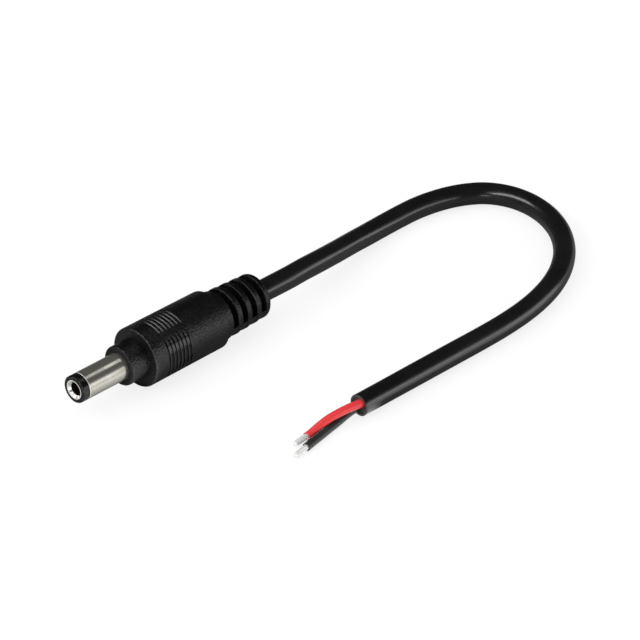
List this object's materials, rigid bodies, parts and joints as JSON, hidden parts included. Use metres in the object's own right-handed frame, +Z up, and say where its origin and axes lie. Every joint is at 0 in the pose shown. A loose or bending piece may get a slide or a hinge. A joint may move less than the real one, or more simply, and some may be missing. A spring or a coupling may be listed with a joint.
{
  "type": "dc barrel plug",
  "caption": "Moulded dc barrel plug with a slotted strain relief, on a short round two-core lead with tinned ends.",
  "frame": {"origin": "on the plug's axis at the shoulder, where the bare metal sleeve meets the moulding", "axes": "+X along the plug's axis towards its tip, +Z up from the surface that the plug and its cable lie on"},
  "size_m": [0.1151, 0.0469, 0.012],
  "materials": {
    "black_pvc": "satin moulded plastic, fine spark-eroded grain on the grip",
    "cable_pvc": "satin extruded plastic",
    "black_nylon": "glossy moulded plastic",
    "nickel": "nickel plate, lightly drawn along its length",
    "solder": "dull solder",
    "red_insulation": "smooth extruded plastic",
    "black_insulation": "smooth extruded plastic",
    "tinned_copper": "tinned strands"
  },
  "bodies": {
    "root": {"moulded_body": "black_pvc", "outer_sleeve": "nickel", "insulator": "black_nylon", "centre_contact": "nickel", "centre_solder": "solder", "sleeve_solder": "solder", "red_lead_plug_end": "red_insulation", "black_lead_plug_end": "black_insulation", "cable_jacket": "cable_pvc", "red_lead": "red_insulation", "black_lead": "black_insulation", "red_tinned_end": "tinned_copper", "black_tinned_end": "tinned_copper"}
  },
  "joints": []
}
